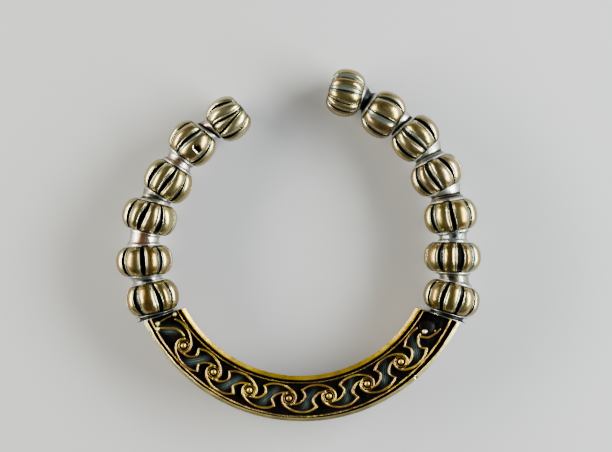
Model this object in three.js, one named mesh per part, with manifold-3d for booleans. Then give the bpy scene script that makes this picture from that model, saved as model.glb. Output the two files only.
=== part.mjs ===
// A beaded torc: an open neck ring of cast copper alloy, lying flat on its back.
// The front half is a crescent collar with a sunk panel of running scrolls. The other half is
// two strings of melon beads with waisted spacers between them, each string on an iron rod
// that is let into an end of the collar. A gap is left between the two end beads.
// Millimetres, +Z up. Bearings are degrees counter-clockwise from +X about the ring's centre.
import * as THREE from "three";
import { mergeVertices } from "three/addons/utils/BufferGeometryUtils.js";
import Module from "manifold-3d";

const wasm = await Module();
wasm.setup();

const CLEARANCE = 0.3; // left between pieces that touch
const UP = new THREE.Vector3(0, 0, 1);

// The collar, a bar of rounded trough section: [distance from the ring's centre, height].
const COLLAR_INNER = 58.8;
const COLLAR_OUTER = 79.5;
const COLLAR_DEPTH = 20;
const COLLAR_MIDDLE = -90; // bearing
const COLLAR_HALF_SPAN = 62.6; // degrees each way from the middle
const COLLAR_END_TURN = 9; // degrees that each end face turns away from the radius
const COLLAR_STEPS = 18;
const BASE_INSET = 4.4; // from each side in to the flat underside
const WALL_TURN = [0.9, 6]; // inset from the side, height: where the underside meets the wall
const RIM_WIDTH = 2.0;
const GROOVE_WIDTH = 0.8; // between a rim and its bead line
const GROOVE_DEPTH = 2.4;
const BEAD_LINE_WIDTH = 0.9; // the fine milled line that frames the panel
const BEAD_LINE_DROP = 1.3; // below the rims
const PANEL_DROP = 2.8;
const CANT = 0.15; // slope of the groove walls, across

// The running scroll, [along the panel, outwards] from the boss that a line leaves.
const SCROLL_RADIUS = 69.2;
const FIRST_BOSS = -139.1; // bearing
const BOSS_STEP = 14.93; // degrees
const BOSSES = 7;
const STEM = [[1.4, 2.5], [4.1, 2.1], [6.3, 0.6], [7.3, -1.4], [6.0, -4.0]];
const SWEEP = [
  [6.0, -4.0], [8.4, -5.3], [11.4, -5.9], [15.0, -5.6], [18.5, -4.1], [20.6, -2.1], [21.1, 0.2],
  [20.2, 2.3],
];
const TAIL = [[-12.6, 4.8], [-10.5, 1.1], [-8.6, -1.5], [-6.0, -2.8], [-3.4, -3.0]];
const END_CURL = [[-3.6, -1.4], [-2.1, 1.2], [0.7, 2.9], [4.0, 3.9]]; // round the disc
const STEM_STEPS = 3;
const SWEEP_STEPS = 6;
const RIDGE_WIDTH = 1.5; // at the foot
const RIDGE_HEIGHT = 1.5;
const SINK = 0.3; // how far relief is let into the panel
const BOSS_PROFILE = [[2.1, 0], [1.8, 1.1], [0, 1.7]]; // [radius, height]
const DISC_PROFILE = [[3.9, 0], [3.7, 1.3], [0, 1.5]];
const DISC_PLACE = [1.6, -1.9]; // from where the next boss would stand
const ROUND_SIDES = 8;

// The beads. Each string runs from its end bead to the collar; reach is from the ring's centre,
// girth across the lobes, and lean turns the axis off the ring's tangent. The channels that show
// are given in degrees round from the top, each at the bead's start, middle and end.
const LEFT_BEADS = [
  {
    bearing: 119.9, reach: 65.2, girth: 21.0, lean: 11, shoulder: 0.56,
    channels: [[-28, -52, -70], [5, -1, -14], [14, 17, 27], [47, 49, 51]],
  },
  {
    bearing: 137.0, reach: 66.5, girth: 22.0, lean: 3, shoulder: 0.6,
    channels: [[-52, -56, -60], [-7, -14, -21], [42, 45, 42]],
  },
  {
    bearing: 154.5, reach: 65.8, girth: 23.0, lean: -6, shoulder: 0.62,
    channels: [[-39, -44, -50], [5, 1, -2], [43, 44, 47]],
  },
  {
    bearing: 169.8, reach: 69.0, girth: 25.0, lean: -4, shoulder: 0.62,
    channels: [[-42, -49, -56], [-2, -11, -18], [32, 30, 33]],
  },
  {
    bearing: 186.1, reach: 70.5, girth: 26.0, lean: -2, shoulder: 0.62,
    channels: [[-45, -47, -47], [0, -1, 0], [40, 42, 40]],
  },
  {
    bearing: 199.9, reach: 70.8, girth: 25.0, lean: -7, shoulder: 0.62,
    channels: [[-34, -36, -34], [10, 17, 21], [47, 50, 53]],
  },
];
const RIGHT_BEADS = [
  {
    bearing: 73.4, reach: 71.2, girth: 22.4, lean: 0, shoulder: 0.54,
    channels: [[-54, -56, -60], [-30, -31, -33], [2, 6, 8], [36, 36, 38]],
  },
  {
    bearing: 57.3, reach: 69.3, girth: 22.4, lean: -2, shoulder: 0.56,
    channels: [[-55, -57, -60], [-20, -16, -11], [33, 41, 42]],
  },
  {
    bearing: 42.6, reach: 70.3, girth: 23.3, lean: -1, shoulder: 0.62,
    channels: [[-48, -46, -44], [-14, -9, -3], [33, 40, 38]],
  },
  {
    bearing: 26.9, reach: 68.6, girth: 24.2, lean: -1, shoulder: 0.62,
    channels: [[-52, -45, -32], [-18, -16, -9], [27, 34, 37]],
  },
  {
    bearing: 10.6, reach: 68.6, girth: 25.0, lean: -1, shoulder: 0.62,
    channels: [[-46, -45, -44], [1, -2, 3], [43, 46, 48]],
  },
  {
    bearing: -4.8, reach: 68.6, girth: 26.0, lean: 4, shoulder: 0.62,
    channels: [[-32, -33, -33], [13, 14, 14], [50, 51, 50]],
  },
  {
    bearing: -19.6, reach: 72.0, girth: 26.0, lean: 4, shoulder: 0.62,
    channels: [[-60, -60, -60], [-21, -22, -22], [17, 16, 16], [55, 55, 55]],
  },
];
const LOBES = 8;
const COLUMNS_PER_LOBE = 4;
const CHANNEL_HALF_WIDTH = 8.5; // degrees
const NARROW_SHARE = 0.35; // of the way across a lobe, that half of a channel may take at most
const LOBE_CROWN = 0.35; // drop from a lobe's crest to its edges
const CHANNEL_DEPTH = 1.9;
const CHANNEL_END_SHARE = 0.3; // of that depth, left at the bead's ends
const LATITUDES = [-90, -56, -20, 20, 56, 90]; // where the bead's curve is taken, degrees
const LONGEST_BEAD = 15.4; // the smallest bead is the longest
const SMALLEST_GIRTH = 21;
const SHORTENING = 0.44; // for each millimetre of girth
const BORE_RADIUS = 4.6;
const BORE_SIDES = 6;
const BORE_OVERRUN = 1; // of the tool that opens a bore, past each end
const LIFT = 0.15; // of each bead off the surface

// The hole torn in a bead of the left string.
const TORN_BEAD = 1;
const TEAR_PLACE = [2.7, -2.7]; // from the bead's centre, seen from above
const TEAR_RADII = [1.5, 1.9, 1.4, 2.0, 1.6, 1.2, 1.8];
const TEAR_FLOOR = 6.5; // above the bead's centre

// The spacers: the radii of the two rims, and the waist as a share of them.
const LEFT_SPACERS = [
  { rims: [6.7, 6.9], waist: 0.68 },
  { rims: [7.3, 7.5], waist: 0.84 },
  { rims: [8.2, 7.5], waist: 0.8 },
  { rims: [7.0, 7.6], waist: 0.92 },
  { rims: [8.0, 7.5], waist: 0.86 },
  { rims: [9.7, 9.7], waist: 0.8 },
];
const RIGHT_SPACERS = [
  { rims: [6.4, 7.0], waist: 0.7 },
  { rims: [7.2, 7.5], waist: 0.74 },
  { rims: [8.2, 8.3], waist: 0.8 },
  { rims: [8.4, 8.4], waist: 0.78 },
  { rims: [7.4, 7.1], waist: 0.87 },
  { rims: [8.2, 8.0], waist: 0.84 },
  { rims: [9.7, 9.7], waist: 0.8 },
];
const WAIST_ALONG = [0.3, 0.7]; // where the waist begins and ends
const SPACER_BORE = 4;
const SPACER_SIDES = 10;

// The rods.
const ROD_RADIUS = 2;
const ROD_SIDES = 5;
const ROD_STEPS = 13;
const ROD_END = 0.4; // stands proud of the end bead
const SOCKET_BEARING = 56; // degrees from the collar's middle to the bottom of its sockets
const SOCKET_HEIGHT = 11.5;

const metal = (color, roughness) =>
  new THREE.MeshStandardMaterial({ color, roughness, metalness: 1 });
const BRASS = metal(0xc09a45, 0.35);
const PALE_BRASS = metal(0xb3a88f, 0.4);
const IRON = metal(0x2a2420, 0.7);

const radians = THREE.MathUtils.degToRad;

function polar(bearing, reach, height = 0) {
  const angle = radians(bearing);
  return new THREE.Vector3(reach * Math.cos(angle), reach * Math.sin(angle), height);
}

// Moves every vertex of a geometry to where place(vertex) says.
function reshape(geometry, place) {
  const positions = geometry.getAttribute("position");
  const vertex = new THREE.Vector3();
  for (let i = 0; i < positions.count; i++) {
    vertex.fromBufferAttribute(positions, i);
    positions.setXYZ(i, ...place(vertex).toArray());
  }
  return geometry;
}

function solidOf(geometry) {
  const bare = new THREE.BufferGeometry();
  bare.setAttribute("position", geometry.getAttribute("position"));
  bare.setIndex(geometry.index);
  const merged = mergeVertices(bare);
  const vertProperties = merged.getAttribute("position").array;
  const triVerts = new Uint32Array(merged.index.array);
  return new wasm.Manifold(new wasm.Mesh({ numProp: 3, vertProperties, triVerts }));
}

function geometryOf(solid) {
  const { vertProperties, triVerts } = solid.getMesh();
  const geometry = new THREE.BufferGeometry();
  geometry.setAttribute("position", new THREE.BufferAttribute(vertProperties, 3));
  geometry.setIndex(new THREE.BufferAttribute(triVerts, 1));
  geometry.computeVertexNormals();
  return geometry;
}

const points = (pairs) => pairs.map(([x, y]) => new THREE.Vector2(x, y));

// A turned shape whose axis is +Z.
function turned(pairs, sides) {
  return new THREE.LatheGeometry(points(pairs), sides).rotateX(Math.PI / 2);
}

// ---- Beads ----

// Where a bead stands: turn is 1 on a string that runs with the bearings, else -1.
function poseOf(bead, turn) {
  const heading = radians(bead.bearing + 90 * turn + bead.lean);
  const radius = bead.girth / 2;
  return {
    radius,
    halfLength: (LONGEST_BEAD - SHORTENING * (bead.girth - SMALLEST_GIRTH)) / 2,
    centre: polar(bead.bearing, bead.reach, radius + LIFT),
    axis: new THREE.Vector3(Math.cos(heading), Math.sin(heading), 0),
  };
}

// The channels all round a bead: those that show, and the rest spread evenly over the underside.
function channelsRound(shown) {
  const [first, last] = [shown[0], shown.at(-1)];
  const hidden = LOBES - shown.length;
  const rest = Array.from({ length: hidden }, (_, i) => {
    const share = (i + 1) / (hidden + 1);
    return last.map((angle, k) => THREE.MathUtils.lerp(angle, first[k] + 360, share));
  });
  return [...shown, ...rest, first.map((angle) => angle + 360)];
}

// A channel's angle at a place along the bead, from -1 at its start to 1 at its end.
function channelAngle([start, middle, end], along) {
  return middle + ((end - start) / 2) * along + ((start + end) / 2 - middle) * along * along;
}

// Across one lobe: in the channel, at the lobe's near edge, on its crest and at its far edge, each
// with how far it is worn or cut down below the crest.
function lobeColumns(near, far) {
  const pitch = far - near;
  const halfChannel = Math.min(CHANNEL_HALF_WIDTH, NARROW_SHARE * pitch);
  return [
    { angle: near, depth: CHANNEL_DEPTH },
    { angle: near + halfChannel, depth: LOBE_CROWN },
    { angle: near + pitch / 2, depth: 0 },
    { angle: far - halfChannel, depth: LOBE_CROWN },
  ];
}

// A gadrooned bead about +Z, its lobes narrowing to the flat ends.
function beadGeometry(bead, pose) {
  const { radius, halfLength } = pose;
  const channels = channelsRound(bead.channels);
  const shoulder = bead.shoulder * radius;
  const curve = LATITUDES.map((latitude) => [
    shoulder + (radius - shoulder) * Math.cos(radians(latitude)),
    halfLength * Math.sin(radians(latitude)),
  ]);
  const profile = [[0, -halfLength], ...curve, [0, halfLength]];
  const columns = COLUMNS_PER_LOBE * LOBES;
  return reshape(turned(profile, columns), (v) => {
    const reach = Math.hypot(v.x, v.y);
    if (reach < BORE_RADIUS) return v;
    const round = Math.atan2(v.x, v.y) / (2 * Math.PI);
    const index = Math.round((round + 1) * columns) % columns;
    const lobe = Math.floor(index / COLUMNS_PER_LOBE);
    const [near, far] = [lobe, lobe + 1].map((i) => channelAngle(channels[i], v.z / halfLength));
    const { angle, depth } = lobeColumns(near, far)[index % COLUMNS_PER_LOBE];
    const swell = Math.max(0, (reach - shoulder) / (radius - shoulder));
    const share = CHANNEL_END_SHARE + (1 - CHANNEL_END_SHARE) * Math.sqrt(swell);
    const out = reach - depth * share;
    return v.set(out * Math.sin(radians(angle)), out * Math.cos(radians(angle)), v.z);
  });
}

function boreTool(halfLength) {
  const length = 2 * (halfLength + BORE_OVERRUN);
  return new THREE.CylinderGeometry(BORE_RADIUS, BORE_RADIUS, length, BORE_SIDES).rotateX(
    Math.PI / 2,
  );
}

// The ragged hole, a pit sunk straight down into the bead.
function tearTool(pose) {
  const outline = TEAR_RADII.map((radius, i) => {
    const spot = polar((360 * i) / TEAR_RADII.length, radius);
    return new THREE.Vector2(spot.x, spot.y);
  });
  const pit = new THREE.ExtrudeGeometry(new THREE.Shape(outline), {
    depth: pose.radius,
    bevelEnabled: false,
  });
  const { x, y, z } = pose.centre;
  return pit.translate(x + TEAR_PLACE[0], y + TEAR_PLACE[1], z + TEAR_FLOOR);
}

function beadMatrix(pose) {
  const across = new THREE.Vector3().crossVectors(UP, pose.axis);
  return new THREE.Matrix4().makeBasis(across, UP, pose.axis).setPosition(pose.centre);
}

function beadMesh(name, bead, pose, torn) {
  const matrix = beadMatrix(pose);
  let solid = solidOf(beadGeometry(bead, pose)).subtract(solidOf(boreTool(pose.halfLength)));
  if (torn) solid = solid.subtract(solidOf(tearTool(pose).applyMatrix4(matrix.clone().invert())));
  const mesh = new THREE.Mesh(geometryOf(solid), BRASS);
  mesh.name = name;
  mesh.applyMatrix4(matrix);
  return mesh;
}

// ---- Spacers ----

const endOf = (pose, side, gap) =>
  pose.centre.clone().addScaledVector(pose.axis, side * (pose.halfLength + gap));

// The collar's end face, where the last bead's axis meets it, as a pose with no length.
function collarSeat(lastPose, turn) {
  const bearing = COLLAR_MIDDLE - turn * COLLAR_HALF_SPAN;
  const heading = radians(bearing + turn * (90 - COLLAR_END_TURN));
  const axis = new THREE.Vector3(Math.cos(heading), Math.sin(heading), 0);
  const face = new THREE.Plane().setFromNormalAndCoplanarPoint(axis, polar(bearing, SCROLL_RADIUS));
  const line = new THREE.Ray(lastPose.centre, lastPose.axis);
  const centre = line.intersectPlane(face, new THREE.Vector3());
  return { centre, axis, halfLength: 0 };
}

// A waisted ring that leans from one bead's end to the next one's.
function spacerMesh(name, spacer, from, to) {
  const start = endOf(from, 1, CLEARANCE);
  const end = endOf(to, -1, CLEARANCE);
  const rimAt = (along) => THREE.MathUtils.lerp(...spacer.rims, along);
  const waist = WAIST_ALONG.map((along) => [spacer.waist * rimAt(along), along]);
  const outline = [[rimAt(0), 0], ...waist, [rimAt(1), 1]];
  const profile = [[SPACER_BORE, 0], ...outline, [SPACER_BORE, 1], [SPACER_BORE, 0]];
  const geometry = reshape(turned(profile, SPACER_SIDES), (v) => {
    const axis = from.axis.clone().lerp(to.axis, v.z).normalize();
    const across = new THREE.Vector3().crossVectors(UP, axis);
    const centre = start.clone().lerp(end, v.z);
    return centre.addScaledVector(across, v.x).addScaledVector(UP, v.y);
  });
  const mesh = new THREE.Mesh(geometry, PALE_BRASS);
  mesh.name = name;
  return mesh;
}

// ---- Rods ----

// The line of a rod, from just past its end bead to the bottom of its socket in the collar.
function rodPath(poses, seat, turn) {
  const socket = COLLAR_MIDDLE - turn * SOCKET_BEARING;
  return new THREE.CatmullRomCurve3([
    endOf(poses[0], -1, ROD_END),
    ...poses.map((pose) => pose.centre),
    seat.centre,
    polar(socket, SCROLL_RADIUS, SOCKET_HEIGHT),
  ]);
}

function rodGeometry(path, radius) {
  const corners = Array.from({ length: ROD_SIDES }, (_, i) => {
    const spot = polar((360 * i) / ROD_SIDES, radius);
    return new THREE.Vector2(spot.x, spot.y);
  });
  return new THREE.ExtrudeGeometry(new THREE.Shape(corners), {
    steps: ROD_STEPS,
    extrudePath: path,
  });
}

function rodMesh(name, path) {
  const mesh = new THREE.Mesh(rodGeometry(path, ROD_RADIUS), IRON);
  mesh.name = name;
  return mesh;
}

// ---- Collar ----

// One side of the collar's section from the flat underside round to the panel floor, as
// [inset from the side, height]; the other side mirrors it.
function halfSection() {
  const grooveStart = RIM_WIDTH + CANT;
  const lineStart = grooveStart + GROOVE_WIDTH;
  const lineEnd = lineStart + BEAD_LINE_WIDTH;
  return [
    [BASE_INSET, 0],
    WALL_TURN,
    [0, COLLAR_DEPTH],
    [RIM_WIDTH, COLLAR_DEPTH],
    [grooveStart, COLLAR_DEPTH - GROOVE_DEPTH],
    [lineStart, COLLAR_DEPTH - GROOVE_DEPTH],
    [lineStart + CANT, COLLAR_DEPTH - BEAD_LINE_DROP],
    [lineEnd, COLLAR_DEPTH - BEAD_LINE_DROP],
    [lineEnd + CANT, COLLAR_DEPTH - PANEL_DROP],
  ];
}

function collarBar() {
  const half = halfSection();
  const outerSide = half.map(([inset, height]) => [COLLAR_OUTER - inset, height]);
  const innerSide = half.map(([inset, height]) => [COLLAR_INNER + inset, height]).reverse();
  const section = new THREE.Shape(points([...outerSide, ...innerSide]));
  const bar = new THREE.ExtrudeGeometry(section, {
    depth: 1,
    steps: COLLAR_STEPS,
    bevelEnabled: false,
  });
  const slope = Math.tan(radians(COLLAR_END_TURN)) / SCROLL_RADIUS;
  return reshape(bar, (v) => {
    const towardsEnd = 1 - 2 * v.z;
    const skew = THREE.MathUtils.radToDeg((v.x - SCROLL_RADIUS) * slope);
    const bearing = COLLAR_MIDDLE + towardsEnd * (COLLAR_HALF_SPAN + skew);
    return v.copy(polar(bearing, v.x, v.y));
  });
}

const PANEL_FLOOR = COLLAR_DEPTH - PANEL_DROP;
const BOSS_PITCH = radians(BOSS_STEP) * SCROLL_RADIUS; // along the panel, from boss to boss

// A place on the panel, given along and outwards from the boss of that number.
function onPanel(boss, along, outwards, height) {
  const bearing = FIRST_BOSS + boss * BOSS_STEP + THREE.MathUtils.radToDeg(along / SCROLL_RADIUS);
  return polar(bearing, SCROLL_RADIUS + outwards, PANEL_FLOOR + height);
}

// A raised line on the panel that follows a curve through the pairs.
function ridge(boss, pairs, steps) {
  const curve = new THREE.SplineCurve(points(pairs));
  const section = new THREE.Shape(
    points([
      [-RIDGE_WIDTH / 2, -SINK],
      [RIDGE_WIDTH / 2, -SINK],
      [0, RIDGE_HEIGHT],
    ]),
  );
  const bar = new THREE.ExtrudeGeometry(section, { depth: 1, steps, bevelEnabled: false });
  return reshape(bar, (v) => {
    const spot = curve.getPointAt(v.z);
    const heading = curve.getTangentAt(v.z);
    return onPanel(boss, spot.x + v.x * heading.y, spot.y - v.x * heading.x, v.y);
  });
}

// The same line turned half round between this boss and the next.
const halfTurn = (pairs) => pairs.map(([along, outwards]) => [BOSS_PITCH - along, -outwards]);

function roundRelief(profile, place) {
  const [[footRadius]] = profile;
  const buried = [[0, -SINK], [footRadius, -SINK], ...profile.slice(1)];
  return turned(buried, ROUND_SIDES).translate(place.x, place.y, place.z);
}

function scrolls() {
  const relief = [ridge(-1, SWEEP, SWEEP_STEPS), ridge(0, TAIL, STEM_STEPS)];
  for (let boss = 0; boss < BOSSES; boss++) {
    relief.push(
      ridge(boss, STEM, STEM_STEPS),
      ridge(boss, SWEEP, SWEEP_STEPS),
      ridge(boss, halfTurn(STEM), STEM_STEPS),
      ridge(boss, halfTurn(SWEEP), SWEEP_STEPS),
      roundRelief(BOSS_PROFILE, onPanel(boss, 0, 0, 0)),
    );
  }
  relief.push(
    roundRelief(DISC_PROFILE, onPanel(BOSSES, ...DISC_PLACE, 0)),
    ridge(BOSSES, END_CURL, STEM_STEPS),
  );
  return relief;
}

function collarMesh(rodPaths) {
  let solid = solidOf(collarBar());
  for (const relief of scrolls()) solid = solid.add(solidOf(relief));
  for (const path of rodPaths) {
    solid = solid.subtract(solidOf(rodGeometry(path, ROD_RADIUS + CLEARANCE)));
  }
  const mesh = new THREE.Mesh(geometryOf(solid), BRASS);
  mesh.name = "collar";
  return mesh;
}

// ---- The torc ----

function beadString(side, beads, spacers, turn) {
  const string = new THREE.Group();
  const poses = beads.map((bead) => poseOf(bead, turn));
  const seat = collarSeat(poses.at(-1), turn);
  const path = rodPath(poses, seat, turn);
  string.add(rodMesh(`rod_${side}`, path));
  beads.forEach((bead, i) => {
    const torn = side === "left" && i === TORN_BEAD;
    const [from, to] = [poses[i], poses[i + 1] ?? seat];
    string.add(beadMesh(`bead_${side}_${i + 1}`, bead, from, torn));
    string.add(spacerMesh(`spacer_${side}_${i + 1}`, spacers[i], from, to));
  });
  return { string, path };
}

const torc = new THREE.Group();
const left = beadString("left", LEFT_BEADS, LEFT_SPACERS, 1);
const right = beadString("right", RIGHT_BEADS, RIGHT_SPACERS, -1);
torc.add(left.string, right.string);
torc.add(collarMesh([left.path, right.path]));

// The origin is the middle of the torc's footprint, on the surface that it lies on.
torc.updateMatrixWorld(true);
const middle = new THREE.Box3().setFromObject(torc, true).getCenter(new THREE.Vector3());
torc.position.set(-middle.x, -middle.y, 0);

export default torc;
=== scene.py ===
# %% [markdown]
# # A beaded torc
# A neck ring of copper alloy lies on its back on a pale table. Its front half is a crescent
# collar with a sunk panel of running scrolls. Its other half is two strings of melon beads
# with waisted spacers between them, on iron rods that are let into the collar's ends.
#
# The plain frame gives every piece its place. Each one is made again here with its fine
# surface: the crowned lobes and fillets of the beads, the thin rims of the spacers, and the
# scrolls, bosses and milled lines of the collar.

import math
from collections import namedtuple
from functools import partial

import bpy
import numpy as np
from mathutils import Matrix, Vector


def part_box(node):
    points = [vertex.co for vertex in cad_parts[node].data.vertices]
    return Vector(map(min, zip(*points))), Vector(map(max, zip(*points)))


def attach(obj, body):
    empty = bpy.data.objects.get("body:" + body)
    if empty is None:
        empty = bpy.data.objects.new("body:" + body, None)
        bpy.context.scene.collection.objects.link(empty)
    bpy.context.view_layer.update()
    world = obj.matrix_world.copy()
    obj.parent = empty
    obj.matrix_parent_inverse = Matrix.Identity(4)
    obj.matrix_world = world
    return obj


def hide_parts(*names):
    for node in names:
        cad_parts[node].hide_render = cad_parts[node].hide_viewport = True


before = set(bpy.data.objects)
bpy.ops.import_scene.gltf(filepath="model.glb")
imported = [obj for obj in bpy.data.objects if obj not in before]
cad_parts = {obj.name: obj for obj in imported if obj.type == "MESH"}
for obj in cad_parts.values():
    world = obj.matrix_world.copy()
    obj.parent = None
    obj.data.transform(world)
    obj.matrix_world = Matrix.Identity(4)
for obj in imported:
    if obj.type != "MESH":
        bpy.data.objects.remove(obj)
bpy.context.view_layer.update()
MM = 0.001
print("plain pieces:", len(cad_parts))

# %% The ring's centre
# The collar is an arc about the ring's centre, and its outer side is 79.5 mm from it.
COLLAR_OUTER = 79.5
COLLAR_INNER = 58.8
collar_low, collar_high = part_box("collar")
RING = np.array(
    [(collar_low.x + collar_high.x) / 2 / MM, collar_low.y / MM + COLLAR_OUTER, 0.0]
)
print("ring centre, mm:", RING.round(3))


def polar(bearing, reach, height=0.0):
    """Places on the ring in mm: bearing in degrees, reach from the ring's centre."""
    angle = np.radians(bearing)
    flat = (reach * np.cos(angle), reach * np.sin(angle))
    return np.stack(np.broadcast_arrays(*flat, height), axis=-1) + RING


# %% [markdown]
# ## Small tools
# Hand work is never even, so every piece gets a little wander from crossed waves. They are
# seeded, so the torc is the same each time.


# %% Helpers for meshes
def waves(points, size, seed, count=7):
    """Smooth wander between about -1 and 1, with hollows and swells of roughly that size."""
    random = np.random.default_rng(seed)
    total = np.zeros(len(points))
    for _ in range(count):
        direction = random.normal(size=3)
        direction /= np.linalg.norm(direction)
        length = size * random.uniform(0.7, 1.6)
        total += np.sin(points @ direction * (2 * math.pi / length) + random.uniform(0, 6.3))
    return total / math.sqrt(count)


def smoothstep(low, high, value):
    """0 below low, 1 above high, and an even rise between."""
    share = np.clip((value - low) / (high - low), 0.0, 1.0)
    return share * share * (3 - 2 * share)


def hump(value, centre, width):
    """A soft bump of height 1 round the centre."""
    return np.exp(-(((value - centre) / width) ** 2))


def wrapped_quads(rows, columns, close_rows=True):
    """Quads of a sheet of points that closes on itself round its columns and its rows."""
    row = np.arange(rows if close_rows else rows - 1)
    column = np.arange(columns)
    r, c = np.meshgrid(row, column, indexing="ij")
    r_next = (r + 1) % rows
    c_next = (c + 1) % columns
    corners = [r * columns + c, r * columns + c_next, r_next * columns + c_next]
    corners.append(r_next * columns + c)
    return np.stack(corners, axis=-1).reshape(-1, 4)


def mesh_object(name, points, faces, floats=None, vectors=None):
    """A smooth object from points in mm, with its masks kept on its vertices."""
    mesh = bpy.data.meshes.new(name)
    points = np.asarray(points, dtype=float) * MM
    if isinstance(faces, np.ndarray):
        faces = faces.tolist()
    mesh.from_pydata(points.tolist(), [], faces)
    mesh.update()
    for key, values in (floats or {}).items():
        layer = mesh.attributes.new(key, "FLOAT", "POINT")
        layer.data.foreach_set("value", np.asarray(values, dtype=np.float32))
    for key, values in (vectors or {}).items():
        layer = mesh.attributes.new(key, "FLOAT_VECTOR", "POINT")
        layer.data.foreach_set("vector", np.asarray(values, dtype=np.float32).ravel())
    mesh.polygons.foreach_set("use_smooth", [True] * len(mesh.polygons))
    made = bpy.data.objects.new(name, mesh)
    bpy.context.scene.collection.objects.link(made)
    return made


def hand_over(made, node, material):
    """The fine piece stands for its plain one and takes its finish."""
    made.data.materials.append(material)
    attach(made, "root")
    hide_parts(node)


# %% [markdown]
# ## Finishes
# The metal is a copper alloy with a brown skin. Handling has rubbed the high places bright, and
# black-green dirt has stayed in the low ones; painted highlights and painted shade are laid into
# the same colours. The masks on each piece say where: one marks dirt and painted shade in the low
# places, one rubbed ridges and painted highlights, one makes a lobe warmer than the next, and one
# a thin grey-green crust and painted sheen.


# %% Shader group helpers
def new_group(name, inputs, outputs):
    """An empty shader group with named sockets: inputs and outputs are (kind, names)."""
    group = bpy.data.node_groups.new(name, "ShaderNodeTree")
    for way, sockets in (("INPUT", inputs), ("OUTPUT", outputs)):
        for kind, labels in sockets:
            for label in labels:
                group.interface.new_socket(label, in_out=way, socket_type="NodeSocket" + kind)
    return group, group.nodes.new("NodeGroupInput"), group.nodes.new("NodeGroupOutput")


def math_node(tree, kind, a, b=None, clamp=False):
    """A sum in a shader: a and b are sockets or plain numbers."""
    node = tree.nodes.new("ShaderNodeMath")
    node.operation = kind
    node.use_clamp = clamp
    for slot, value in enumerate((a, b)):
        if value is None:
            continue
        if isinstance(value, (int, float)):
            node.inputs[slot].default_value = value
        else:
            tree.links.new(value, node.inputs[slot])
    return node.outputs[0]


def ramp_node(tree, value, low, high, to_low=0.0, to_high=1.0):
    """Stretches a value from one range to another and keeps it inside."""
    node = tree.nodes.new("ShaderNodeMapRange")
    node.interpolation_type = "SMOOTHSTEP"
    tree.links.new(value, node.inputs["Value"])
    ends = {"From Min": low, "From Max": high, "To Min": to_low, "To Max": to_high}
    for socket, end in ends.items():
        node.inputs[socket].default_value = end
    return node.outputs["Result"]


def blend_node(tree, share, under, over):
    """Lays one colour over another: share, under and over are sockets or values."""
    node = tree.nodes.new("ShaderNodeMix")
    node.data_type = "RGBA"
    node.clamp_factor = True
    for slot, value in ((0, share), (6, under), (7, over)):
        if isinstance(value, tuple):
            node.inputs[slot].default_value = value
        else:
            tree.links.new(value, node.inputs[slot])
    return node.outputs[2]


def noise_node(tree, place, scale, detail=3.0, rough=0.55, stretch=None):
    """A seeded cloud in the piece's own millimetres, stretched along one way if asked."""
    if stretch is not None:
        node = tree.nodes.new("ShaderNodeVectorMath")
        node.operation = "MULTIPLY"
        node.inputs[1].default_value = stretch
        tree.links.new(place, node.inputs[0])
        place = node.outputs[0]
    node = tree.nodes.new("ShaderNodeTexNoise")
    node.inputs["Scale"].default_value = scale
    node.inputs["Detail"].default_value = detail
    node.inputs["Roughness"].default_value = rough
    tree.links.new(place, node.inputs["Vector"])
    return node.outputs["Fac"]


# %% The worn skin, shared by every copper alloy piece
SKIN_COLORS = ("Rubbed", "Skin", "Warm skin", "Dirt", "Verdigris", "Grey bloom")


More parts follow.
